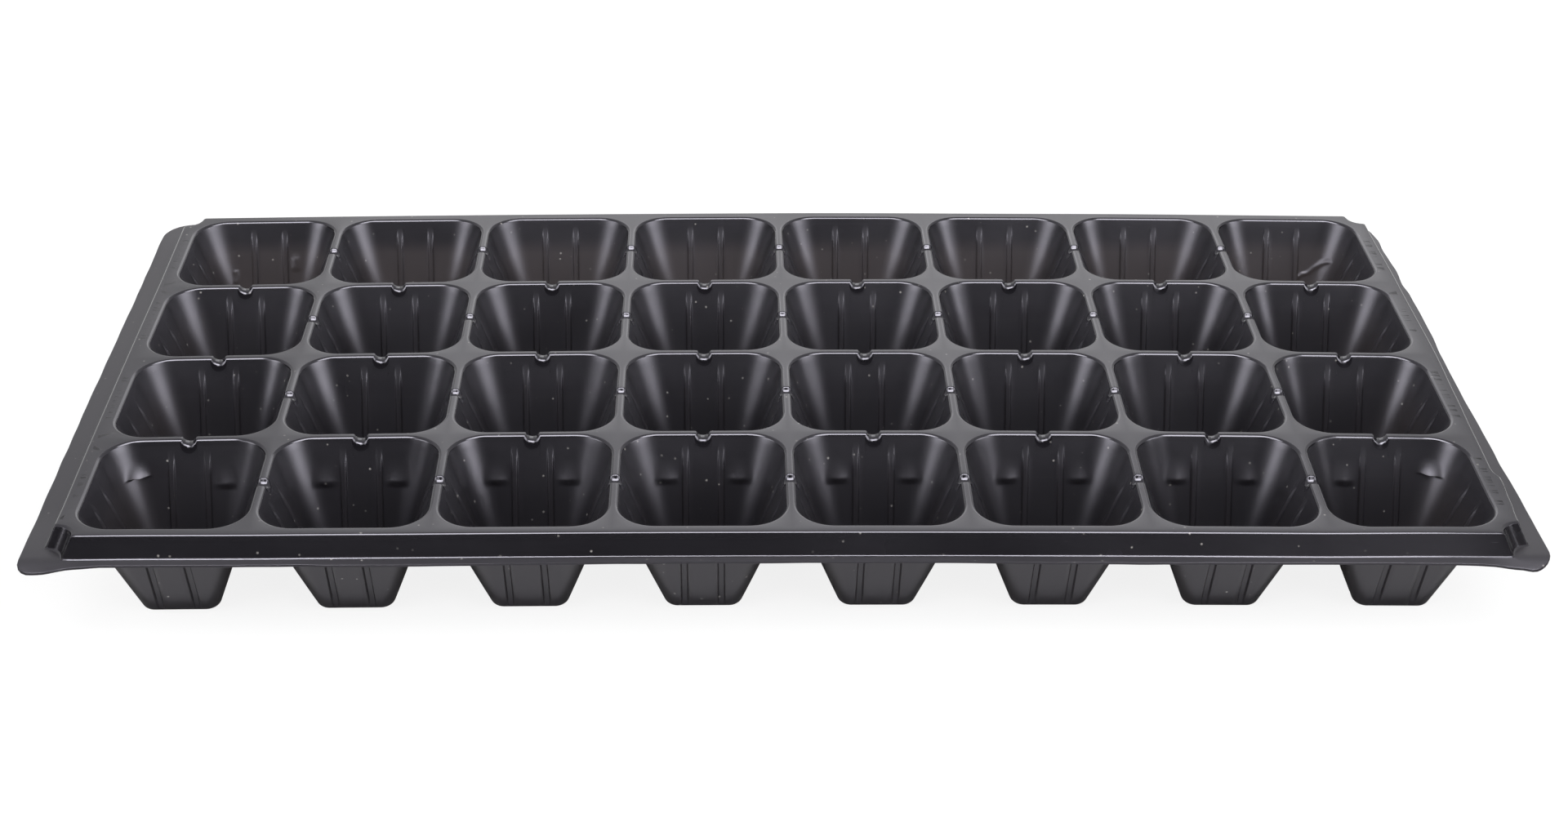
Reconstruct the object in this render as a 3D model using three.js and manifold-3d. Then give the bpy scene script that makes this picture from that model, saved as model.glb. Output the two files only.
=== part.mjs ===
// Thermoformed seed tray: a grid of tapered, ribbed cells hung from a flat deck, with a
// slanting skirt and a flat lip round the edge. Millimetres, +Z up, origin on the bench
// under the middle of the tray, rows along X, the front of the tray towards -Y.
import * as THREE from 'three';
import { mergeVertices } from 'three/addons/utils/BufferGeometryUtils.js';
import Module from 'manifold-3d';

const wasm = await Module();
wasm.setup();

// Grid of cells
const COLUMNS = 8;
const ROWS = 4;
const PITCH = 63.5;
const WEB = 3.1; // deck left between two mouths

// Sheet and overall height, bench to the top of the deck
const SHEET = 0.8;
const HEIGHT = 46;

// One cell: mouth and floor are rounded squares
const MOUTH_RADIUS = 13.5;
const FLOOR = 26.2;
const FLOOR_RADIUS = 4.2;
const DRAIN_DIAMETER = 8;

// Stiffening ribs, pressed inwards, two on each wall
const RIB_OFFSET = 6.65;
const RIB_WIDTH = 2.3;
const RIB_DEPTH = 0.9;
const RIB_START = 4.5; // below the deck

// Half-round notch across the middle of each web
const NOTCH_RADIUS = 2.6;

// Edge of the tray
const END_MARGIN = 4.5; // deck outside the end columns
const SIDE_MARGIN = 3; // deck outside the first and last row
const SKIRT_DROP = 7.7; // deck top to lip top
const SKIRT_DRAFT = 3.5; // how far the skirt leans out on its way down
const END_LIP = 8;
const SIDE_LIP = 6.5;
const LIP_RADIUS = 8;
const SCALLOP_RADIUS = 7.2; // hollow corner of the deck
const CORNER_REACH = 4; // straight edge that a corner piece keeps beside its scallop

// Facets
const CORNER_STEPS = 3; // to a quarter turn of a cell
const NOTCH_STEPS = 3; // to a half turn
const SCALLOP_STEPS = 4; // to a quarter turn
const DRAIN_STEPS = 6; // to a full turn

// Cutters pass beyond the faces that they cut by this much
const PASS = 1;

// Points closer than this are one point
const WELD = 0.001;

const MOUTH = PITCH - WEB;
const DECK_HALF_X = (COLUMNS * PITCH) / 2 + END_MARGIN;
const DECK_HALF_Y = (ROWS * PITCH) / 2 + SIDE_MARGIN;
const LIP_TOP = HEIGHT - SKIRT_DROP;
const WALL_LEAN = (MOUTH - FLOOR) / 2 / (HEIGHT - SHEET); // sideways run of a wall per mm of height
const BLACK_STYRENE = { color: 0x2c2c2f, roughness: 0.42, metalness: 0 };

// Turns a closed three.js geometry into a solid that can be joined and cut.
function solidOf(geometry) {
  const bare = geometry.clone();
  bare.deleteAttribute('normal');
  bare.deleteAttribute('uv');
  const merged = mergeVertices(bare.index ? bare.toNonIndexed() : bare, WELD);
  return new wasm.Manifold(new wasm.Mesh({
    numProp: 3,
    vertProperties: Float32Array.from(merged.attributes.position.array),
    triVerts: Uint32Array.from(merged.index.array),
    tolerance: WELD,
  }));
}

// Turns a solid back into a three.js mesh with its own material.
function meshOf(name, solid) {
  const { vertProperties, triVerts } = solid.getMesh();
  const geometry = new THREE.BufferGeometry();
  geometry.setAttribute('position', new THREE.BufferAttribute(vertProperties, 3));
  geometry.setIndex(new THREE.BufferAttribute(triVerts, 1));
  geometry.computeVertexNormals();
  const mesh = new THREE.Mesh(geometry, new THREE.MeshStandardMaterial(BLACK_STYRENE));
  mesh.name = name;
  return mesh;
}

// Points on an arc, both ends included.
function arc(centreX, centreY, radius, from, to, steps) {
  return Array.from({ length: steps + 1 }, (_, i) => {
    const angle = from + ((to - from) * i) / steps;
    return new THREE.Vector2(centreX + radius * Math.cos(angle), centreY + radius * Math.sin(angle));
  });
}

// Rectangle with round corners.
function roundedRectangle(halfX, halfY, radius, steps) {
  const quarter = Math.PI / 2;
  const corners = [[1, 1], [-1, 1], [-1, -1], [1, -1]];
  return new THREE.Shape(corners.flatMap(([sideX, sideY], i) => arc(
    sideX * (halfX - radius), sideY * (halfY - radius), radius, i * quarter, (i + 1) * quarter, steps,
  )));
}

// Rectangle whose corners are scooped out by an arc about each corner point.
function scallopedRectangle(halfX, halfY, radius) {
  const quarter = Math.PI / 2;
  const corners = [[1, 1], [-1, 1], [-1, -1], [1, -1]];
  return new THREE.Shape(corners.flatMap(([sideX, sideY], i) => arc(
    sideX * halfX, sideY * halfY, radius, (i + 3) * quarter, (i + 2) * quarter, SCALLOP_STEPS,
  )));
}

// Upright prism on an outline, from one height to another.
function prism(shape, low, high) {
  const geometry = new THREE.ExtrudeGeometry(shape, { depth: high - low, bevelEnabled: false });
  return geometry.translate(0, 0, low);
}

// Moves the points of a geometry below a height by a function of their place.
function reshapeBelow(geometry, height, move) {
  const { position } = geometry.attributes;
  const point = new THREE.Vector3();
  for (let i = 0; i < position.count; i += 1) {
    point.fromBufferAttribute(position, i);
    if (point.z < height) {
      move(point);
      position.setXYZ(i, point.x, point.y, point.z);
    }
  }
  return geometry;
}

// Half width of a cell's inner wall at a height above the bench.
function wallHalf(height) {
  return FLOOR / 2 + (height - SHEET) * WALL_LEAN;
}

// Corner radius of a cell's inner wall at a height above the bench.
function wallRadius(height) {
  return FLOOR_RADIUS + ((MOUTH_RADIUS - FLOOR_RADIUS) * (height - SHEET)) / (HEIGHT - SHEET);
}

// Tapered plug with the outline of a cell's wall, thickened by an allowance all round.
function cellPlug(low, high, allowance) {
  const topRadius = wallRadius(high) + allowance;
  const topFlat = wallHalf(high) + allowance - topRadius;
  const footRadius = wallRadius(low) + allowance;
  const footFlat = wallHalf(low) + allowance - footRadius;
  const half = topFlat + topRadius;
  const drawIn = (value) => {
    const size = Math.abs(value);
    const drawn = size <= topFlat
      ? (size * footFlat) / topFlat
      : footFlat + ((size - topFlat) * footRadius) / topRadius;
    return Math.sign(value) * drawn;
  };
  const plug = prism(roundedRectangle(half, half, topRadius, CORNER_STEPS), low, high);
  return reshapeBelow(plug, (low + high) / 2, (point) => {
    point.x = drawIn(point.x);
    point.y = drawIn(point.y);
  });
}

// The four walls of a cell as quarter turns about its centre, counted from +X.
const WALLS = [0, 1, 2, 3];

function onWall(geometry, wall) {
  return geometry.rotateZ((wall * Math.PI) / 2);
}

// Bar that runs up the +X wall of a cell. The section gives its outline as x from the
// inner face of the wall, outwards, and y along the wall.
function wallBar(section, low, high) {
  const bar = prism(new THREE.Shape(section.map(([x, y]) => new THREE.Vector2(x, y))), low, high);
  const lean = new THREE.Matrix4().makeShear(0, 0, 0, 0, WALL_LEAN, 0);
  bar.applyMatrix4(lean);
  return bar.translate(wallHalf(0), 0, 0);
}

// Section of a rib's V, with its nose at one x and its two sides run on out to another.
function ribSection(nose, foot, offset) {
  const half = ((RIB_WIDTH / 2) * (foot - nose)) / RIB_DEPTH;
  return [[nose, offset], [foot, offset - half], [foot, offset + half]];
}

// Cuts a bar of the given section into a plug along every rib.
function ribbed(plug, nose, foot, low, high) {
  return WALLS.reduce((ribs, wall) => [-RIB_OFFSET, RIB_OFFSET].reduce((cut, offset) => {
    const bar = wallBar(ribSection(nose, foot, offset), low, high);
    return cut.subtract(solidOf(onWall(bar, wall)));
  }, ribs), plug);
}

// Outside of a cell, with a groove behind each rib.
function cellOutside() {
  const plug = solidOf(cellPlug(0, HEIGHT - SHEET / 2, SHEET));
  return ribbed(plug, SHEET - RIB_DEPTH, SHEET + PASS, -PASS, HEIGHT - RIB_START);
}

// Hollow of a cell, drawn in by the ridge of each rib.
function cellHollow() {
  const plug = solidOf(cellPlug(SHEET, HEIGHT + PASS, 0));
  return ribbed(plug, -RIB_DEPTH, PASS, 0, HEIGHT - RIB_START + SHEET);
}

// Trough under a notch, from the middle of the cell past the middle of the web on +X.
function notchTrough() {
  const shape = new THREE.Shape(arc(0, 0, NOTCH_RADIUS + SHEET, Math.PI, 2 * Math.PI, NOTCH_STEPS));
  return acrossWeb(prism(shape, 0, PITCH / 2 + PASS));
}

// What a notch takes out, from the middle of the cell past the middle of the web on +X.
function notchCutter() {
  const round = arc(0, 0, NOTCH_RADIUS, Math.PI, 2 * Math.PI, NOTCH_STEPS);
  const above = [new THREE.Vector2(NOTCH_RADIUS, PASS), new THREE.Vector2(-NOTCH_RADIUS, PASS)];
  return acrossWeb(prism(new THREE.Shape([...round, ...above]), 0, PITCH / 2 + PASS));
}

// Lays an upright prism down along +X at the top of the deck.
function acrossWeb(geometry) {
  const basis = new THREE.Matrix4().makeBasis(
    new THREE.Vector3(0, 1, 0), new THREE.Vector3(0, 0, 1), new THREE.Vector3(1, 0, 0),
  );
  return geometry.applyMatrix4(basis).translate(0, 0, HEIGHT);
}

// Block over a cell's share of the tray: half of each web, and the margin at the tray's edge.
function cellShare(reach, low, high) {
  const [right, back, left, front] = reach;
  const block = new THREE.BoxGeometry(right + left, back + front, high - low);
  return block.translate((right - left) / 2, (back - front) / 2, (low + high) / 2);
}

// One cell with its share of the deck, about its own centre line. Neighbours tells, for
// each wall, whether another cell lies beyond it.
function buildCell(outside, hollow, neighbours, reach) {
  const notched = WALLS.filter((wall) => neighbours[wall]);
  const troughs = notched.map((wall) => solidOf(onWall(notchTrough(), wall)));
  const notches = notched.map((wall) => solidOf(onWall(notchCutter(), wall)));
  const drain = new THREE.CylinderGeometry(
    DRAIN_DIAMETER / 2, DRAIN_DIAMETER / 2, 2 * (SHEET + PASS), DRAIN_STEPS,
  );
  const deck = solidOf(cellShare(reach.map((side) => side + PASS), HEIGHT - SHEET, HEIGHT));
  const body = troughs.reduce((sum, trough) => sum.add(trough), outside.add(deck))
    .intersect(solidOf(cellShare(reach, -PASS, HEIGHT + PASS)));
  const cup = body.subtract(hollow).subtract(solidOf(drain.rotateX(Math.PI / 2)));
  return notches.reduce((rest, notch) => rest.subtract(notch), cup);
}

// Cutter for the scalloped outline of the whole deck, in the frame of a cell.
function scallopCutter(centreX, centreY) {
  const cutter = new THREE.CylinderGeometry(
    SCALLOP_RADIUS, SCALLOP_RADIUS, 2 * (SHEET + PASS), 4 * SCALLOP_STEPS,
  );
  cutter.rotateX(Math.PI / 2);
  return cutter.translate(
    Math.sign(centreX) * DECK_HALF_X - centreX, Math.sign(centreY) * DECK_HALF_Y - centreY, HEIGHT,
  );
}

// Cells stand in rows from the front, r1, to the back, and in columns from the left, c1.
function buildCells() {
  const cells = new THREE.Group();
  const outside = cellOutside();
  const hollow = cellHollow();
  for (let row = 0; row < ROWS; row += 1) {
    for (let column = 0; column < COLUMNS; column += 1) {
      const x = (column - (COLUMNS - 1) / 2) * PITCH;
      const y = (row - (ROWS - 1) / 2) * PITCH;
      const neighbours = [column < COLUMNS - 1, row < ROWS - 1, column > 0, row > 0];
      const margins = [END_MARGIN, SIDE_MARGIN, END_MARGIN, SIDE_MARGIN];
      const reach = WALLS.map((wall) => PITCH / 2 + (neighbours[wall] ? 0 : margins[wall]));
      let cell = buildCell(outside, hollow, neighbours, reach);
      const atEnd = column === 0 || column === COLUMNS - 1;
      const atSide = row === 0 || row === ROWS - 1;
      if (atEnd && atSide) {
        cell = cell.subtract(solidOf(scallopCutter(x, y)));
      }
      const mesh = meshOf(`cell_r${row + 1}_c${column + 1}`, cell);
      mesh.position.set(x, y, 0);
      cells.add(mesh);
    }
  }
  return cells;
}

// Leaning block under the scalloped deck outline, drawn in all round by an inset.
function skirtBlock(inset, low, high) {
  const halfX = DECK_HALF_X - inset;
  const halfY = DECK_HALF_Y - inset;
  const block = prism(scallopedRectangle(halfX, halfY, SCALLOP_RADIUS), low, high);
  const spread = (height) => (SKIRT_DRAFT * (HEIGHT - SHEET - height)) / (SKIRT_DROP - SHEET);
  const lean = (height) => (point) => {
    point.x += Math.sign(point.x) * spread(height);
    point.y += Math.sign(point.y) * spread(height);
  };
  const middle = (low + high) / 2;
  reshapeBelow(block, Infinity, (point) => lean(point.z < middle ? low : high)(point));
  return block;
}

// Skirt and lip all round the tray, as one ring.
function rimRing() {
  const lip = roundedRectangle(
    DECK_HALF_X + SKIRT_DRAFT + END_LIP, DECK_HALF_Y + SKIRT_DRAFT + SIDE_LIP, LIP_RADIUS, SCALLOP_STEPS,
  );
  const outside = solidOf(skirtBlock(0, LIP_TOP, HEIGHT - SHEET))
    .add(solidOf(prism(lip, LIP_TOP - SHEET, LIP_TOP)));
  return outside.subtract(solidOf(skirtBlock(SHEET, LIP_TOP - 2 * SHEET, HEIGHT + SHEET)));
}

// The ring is parted where each scallop starts, into four sides and four corners.
function buildRim() {
  const rim = new THREE.Group();
  const ring = rimRing();
  const partX = DECK_HALF_X - SCALLOP_RADIUS - CORNER_REACH;
  const partY = DECK_HALF_Y - SCALLOP_RADIUS - CORNER_REACH;
  const farX = DECK_HALF_X + SKIRT_DRAFT + END_LIP + PASS;
  const farY = DECK_HALF_Y + SKIRT_DRAFT + SIDE_LIP + PASS;
  const spans = {
    rim_front: [-partX, partX, -farY, -partY],
    rim_back: [-partX, partX, partY, farY],
    rim_left: [-farX, -partX, -partY, partY],
    rim_right: [partX, farX, -partY, partY],
    corner_front_left: [-farX, -partX, -farY, -partY],
    corner_front_right: [partX, farX, -farY, -partY],
    corner_back_left: [-farX, -partX, partY, farY],
    corner_back_right: [partX, farX, partY, farY],
  };
  Object.entries(spans).forEach(([name, [left, right, front, back]]) => {
    const span = new THREE.BoxGeometry(right - left, back - front, 2 * HEIGHT);
    span.translate((left + right) / 2, (front + back) / 2, HEIGHT);
    rim.add(meshOf(name, ring.intersect(solidOf(span))));
  });
  return rim;
}

const tray = new THREE.Group();
tray.name = 'seed_tray';
tray.add(buildCells(), buildRim());

export default tray;
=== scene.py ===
"""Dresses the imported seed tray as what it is: one thin sheet of black polystyrene, drawn
over a mould into rows of tapered, ribbed cells, with a skirt and a trimmed lip.

Lengths are in millimetres until a mesh is finished, and x, y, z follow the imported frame.
"""
from __future__ import annotations

import logging
import math
from dataclasses import dataclass
from enum import Enum
from functools import partial
from typing import Any, Callable

import bmesh
import bpy
from mathutils import Euler, Matrix, Vector, geometry, noise


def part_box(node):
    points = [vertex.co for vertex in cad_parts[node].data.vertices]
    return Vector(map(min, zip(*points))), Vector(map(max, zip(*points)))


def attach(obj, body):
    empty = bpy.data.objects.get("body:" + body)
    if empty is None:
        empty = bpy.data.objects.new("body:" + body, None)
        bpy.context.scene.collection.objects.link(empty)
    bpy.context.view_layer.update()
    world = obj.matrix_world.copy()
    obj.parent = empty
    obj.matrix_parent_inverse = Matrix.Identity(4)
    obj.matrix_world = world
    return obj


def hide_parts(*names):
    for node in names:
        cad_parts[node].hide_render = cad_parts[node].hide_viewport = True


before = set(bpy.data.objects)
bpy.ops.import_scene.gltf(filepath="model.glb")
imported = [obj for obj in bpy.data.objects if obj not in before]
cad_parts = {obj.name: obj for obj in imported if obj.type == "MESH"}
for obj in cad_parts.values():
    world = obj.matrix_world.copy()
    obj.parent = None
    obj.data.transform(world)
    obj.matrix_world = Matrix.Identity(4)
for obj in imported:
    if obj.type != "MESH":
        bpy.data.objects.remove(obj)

Knots = tuple[tuple[float, float], ...]  # places along a line, each with its value
Tree = bpy.types.NodeTree
Socket = bpy.types.NodeSocket

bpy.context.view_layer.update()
MM = 0.001
WELD = 1e-5  # distance within which points are one
SHARP = math.radians(50)  # between two faces whose edge shows as sharp
BODY = "root"
BEND = "bend"  # how sharply the sheet was bent, 0 to 1, kept with each point of a mesh
WHITE = (1.0, 1.0, 1.0, 1.0)
BLACK = (0.0, 0.0, 0.0, 1.0)
LOG = logging.getLogger("seed_tray")


class Side(Enum):
    """The walls of a cell and the sides of the tray, as quarter turns from +X."""

    RIGHT = 0
    BACK = 1
    LEFT = 2
    FRONT = 3

    def turned(self, out: float, along: float) -> Vector:
        """Gives the plan point that lies so far out from the middle and along this side.

        Args:
            out: distance from the middle.
            along: distance along, anticlockwise.

        Returns:
            The plan point about the middle.
        """
        point = Vector((out, along))
        point.rotate(Matrix.Rotation(self.value * math.pi / 2, 2))
        return point


def smooth(low: float, high: float, value: float) -> float:
    """Rises softly from 0 at one value to 1 at another."""
    share = min(1.0, max(0.0, (value - low) / (high - low)))
    return share * share * (3 - 2 * share)


def mix(first: float, last: float, share: float) -> float:
    """Gives the value that lies a share of the way from the first to the last."""
    return first + (last - first) * share


def spaced(first: float, last: float, steps: int) -> list[float]:
    """Gives evenly spaced values from the first to the last, both included."""
    return [mix(first, last, i / steps) for i in range(steps + 1)]


def hump(value: float, half: float, flat: float = 0.0) -> float:
    """A hump of height 1 about 0, level on its flat top and again beyond half its width."""
    return 1 - smooth(flat, half, abs(value))


def bent(step: float, steps: int) -> float:
    """Gives how sharply the sheet is bent at a step of a rounded edge, most in its middle."""
    return hump(step - steps / 2, 0.5 + steps / 2, 1.0)


def raised(plan: Vector, z: float) -> Vector:
    """Gives the point at a height over a plan point."""
    return Vector((plan.x, plan.y, z))


def arc(centre: Vector, radius: float, start: float, end: float, steps: int) -> list[Vector]:
    """Gives points on an arc in plan, both ends included."""
    angles = spaced(start, end, steps)
    return [centre + radius * Vector((math.cos(angle), math.sin(angle))) for angle in angles]


@dataclass(frozen=True)
class TraySizes:
    """Sizes that the cells and the rim share."""

    pitch: float
    height: float
    deck_half: Vector
    lip_half: Vector
    lip_top: float
    columns: int = 8
    rows: int = 4
    sheet: float = 0.8
    seam_inset: float = 2.0  # from the deck's edge to where cells and rim meet
    scallop_radius: float = 7.2
    scallop_round: float = 0.9  # at the two edges of a scallop
    scallop_steps: int = 8
    round_steps: int = 3
    corner_reach: float = 4.0  # from a scallop to where a corner of the rim ends

    @staticmethod
    def from_frame() -> TraySizes:
        """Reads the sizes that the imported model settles.

        Returns:
            The tray's sizes in millimetres.
        """
        low, high = (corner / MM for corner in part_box("cell_r2_c2"))
        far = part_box("cell_r4_c8")[1] / MM
        side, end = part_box("rim_back")[1] / MM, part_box("rim_right")[1] / MM
        return TraySizes(
            pitch=high.x - low.x,
            height=high.z,
            deck_half=Vector((far.x, far.y)),
            lip_half=Vector((end.x, side.y)),
            lip_top=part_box("rim_front")[0].z / MM + TraySizes.sheet,
        )

    def centre(self, row: int, column: int) -> Vector:
        """Gives the plan point in the middle of a cell, with rows and columns from 0.

        Args:
            row: counted from the front.
            column: counted from the left.

        Returns:
            The plan point in the tray.
        """
        return Vector((
            (column - (self.columns - 1) / 2) * self.pitch,
            (row - (self.rows - 1) / 2) * self.pitch,
        ))

    def scallop(self, corner: Vector) -> list[Vector]:
        """Walks round the hollow corner of the deck, from the end's edge to the side's.

        Args:
            corner: where the two straight edges would meet, in the quarter of +X and +Y.

        Returns:
            Plan points of the two rounded edges and of the hollow between them.
        """
        round_off, radius = self.scallop_round, self.scallop_radius
        far = math.sqrt((radius + round_off) ** 2 - round_off ** 2)
        tip = math.asin(round_off / (radius + round_off))
        first = corner + Vector((-round_off, -far))
        last = corner + Vector((-far, -round_off))
        points = arc(first, round_off, 0, math.pi / 2 - tip, self.round_steps)
        hollow = arc(corner, radius, -math.pi / 2 - tip, -math.pi + tip, self.scallop_steps)
        points += hollow[1:-1]
        points += arc(last, round_off, tip, math.pi / 2, self.round_steps)
        return points


def loft(
    columns: int, rings: int, place: Callable[[int, int], Vector],
    bend: Callable[[int, int], float], closed: bool,
) -> bmesh.types.BMesh:
    """Wraps a grid into a hollow sheet, each ring of which is a closed section.

    Args:
        columns: places along the sheet.
        rings: points round each section.
        place: gives the point in millimetres for a column and a ring point.
        bend: gives how sharply the sheet is bent there.
        closed: whether the last column meets the first.

    Returns:
        A closed mesh in metres with its faces pointing out.
    """
    bm = bmesh.new()
    wide = columns if closed else columns - 1
    bmesh.ops.create_grid(bm, x_segments=wide, y_segments=rings, size=0.5)
    layer = bm.verts.layers.float.new(BEND)
    for vert in bm.verts:
        column = round((vert.co.x + 0.5) * wide) % columns
        ring = round((vert.co.y + 0.5) * rings) % rings
        vert.co = place(column, ring)
        vert[layer] = bend(column, ring)
    bmesh.ops.remove_doubles(bm, verts=bm.verts, dist=WELD)
    if not closed:
        ends = [edge for edge in bm.edges if edge.is_boundary]
        bmesh.ops.holes_fill(bm, edges=ends, sides=0)
    bmesh.ops.recalc_face_normals(bm, faces=bm.faces)
    bmesh.ops.scale(bm, vec=Vector((MM, MM, MM)), verts=bm.verts)
    return bm


class Formed:
    """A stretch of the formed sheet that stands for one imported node."""

    name: str

    def build(self) -> bmesh.types.BMesh:
        """Forms the piece where it stands in the tray, in metres."""
        raise NotImplementedError

    def dress(self, warp: Warp, material: bpy.types.Material) -> bpy.types.Object:
        """Forms the piece, lets the sheet spring and gives it its finish.

        Args:
            warp: how the sheet springs.
            material: the piece's finish.

        Returns:
            The new object.
        """
        bm = self.build()
        warp.apply(bm)
        return finish_piece(self.name, bm, material)


@dataclass(frozen=True)
class Line:
    """One line down the wall of a cell, from the deck to the drain hole.

    A line on a flat wall lies so far along it. Past the ribs the wall narrows towards the
    floor, so there the line keeps its share of what is left. A line in a corner has a turn.
    """

    side: Side
    edge: Vector  # where the deck ends, about the cell's middle
    along: float = 0.0
    share: float = 0.0
    turn: float | None = None
    drop: float = 0.0  # depth of the notch below the deck
    drop_under: float = 0.0  # the same on the under face
    tilt: float = 0.0  # turn of the notch's surface from level, about the way across the web


@dataclass(frozen=True)
class Lug:
    """A stacking lug, a swelling of a cell's back wall that steps back at its foot."""

    offset: float  # from the wall's middle
    depth: float
    top: float  # below the deck, as is the peak
    peak: float
    foot: float  # below the peak
    width: float = 11.0

    def press(self, aside: float, below: float) -> float:
        """Gives how far the wall is drawn in, beside the lug's middle and below the deck.

        Args:
            aside: distance along the wall from the lug's middle.
            below: depth below the deck.

        Returns:
            Distance inwards from the plain wall.
        """
        share = min(1.0, max(0.0, (below - self.top) / (self.peak - self.top)))
        swell = share * share * (1 - smooth(self.peak, self.peak + self.foot, below))
        return self.depth * swell * hump(aside, self.width / 2)


@dataclass(frozen=True)
class Dent:
    """A crease that handling pressed into the back wall of a cell."""

    points: Knots  # along the wall from its middle, and height
    depth: float
    half: float

    def press(self, place: float, z: float) -> float:
        """Gives how far the wall is pressed in at a place on it.

        Args:
            place: distance along the wall from its middle.
            z: height on the wall.

        Returns:
            Distance inwards from the plain wall.
        """
        spot = Vector((place, z))
        nearest = math.inf
        for first, last in zip(self.points, self.points[1:]):
            point, share = geometry.intersect_point_line(spot, Vector(first), Vector(last))
            if not 0.0 <= share <= 1.0:
                point = Vector(first if share < 0.0 else last)
            nearest = min(nearest, (spot - point.xy).length)
        return self.depth * hump(nearest, self.half)


DENTS: dict[str, tuple[Dent, ...]] = {
    "cell_r4_c1": (
        Dent(((-15.0, 25.6), (-14.6, 24.2), (-15.3, 21.8)), 0.5, 1.4),
        Dent(((11.2, 27.5), (11.3, 30.0)), 0.5, 3.0),
    ),
    "cell_r4_c8": (
        Dent((
            (8.6, 22.6), (9.8, 23.6), (12.1, 24.0), (15.2, 26.5), (18.2, 28.5), (21.5, 30.2),
        ), 0.45, 1.4),
    ),
}


@dataclass(frozen=True)
class CellSizes:
    """Sizes of one cell."""

    mouth_web: float = 3.1
    mouth_radius: float = 13.5
    mouth_round: float = 1.5
    floor_half: float = 13.1
    floor_radius: float = 4.2
    floor_round: float = 2.2
    drain_radius: float = 4.0
    rib_offset: float = 6.65
    rib_width: float = 2.8
    rib_flat: float = 1.4
    rib_depth: float = 0.9
    groove_width: float = 3.0
    groove_flat: float = 1.6
    groove_depth: float = 1.1
    groove_end: float = 4.0  # above the bench, where a groove starts to run out
    rib_start: float = 3.0  # below the deck
    rib_rise: float = 9.0  # from there to where a rib has its depth
    rib_zone: float = 8.2  # from the wall's middle to past the ribs
    notch_half: float = 2.5
    notch_depth: float = 1.9
    notch_round: float = 0.12  # of its width, at its two edges
    notch_power: float = 0.85  # less than 1 for a fuller bowl
    notch_wider: float = 0.8  # of the sheet, on the under face
    notch_fillet: float = 2.4
    notch_reach: float = 3.5  # half of the stretch that its rounded edges take up
    notch_bent: float = 0.5  # depth from which its surface counts as a bend
    flare_end: float = 0.25  # of the way down, where the wall is straight below a notch
    lug: Lug = Lug(13.5, 1.15, 7.5, 15.0, 2.8)
    end_lug: Lug = Lug(19.0, 2.0, 6.5, 12.1, 0.7)  # at the ends of the front row
    # Depths below the deck at which the wall has points, single ones or a span with its steps
    high_levels: tuple[float, ...] = (2.4, 3.6)
    middle_levels: tuple[float, ...] = (9.5, 12.5, 15.5)
    low_levels: tuple[float, float, int] = (18.5, 41.5, 8)
    lug_levels: tuple[float, float, int] = (6.5, 18.2, 28)
    dent_levels: tuple[float, float, int] = (14.2, 25.8, 30)
    rise_steps: int = 5
    corner_steps: int = 16
    rib_steps: int = 14
    flank_steps: int = 7
    notch_steps: int = 26
    round_steps: int = 5


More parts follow.
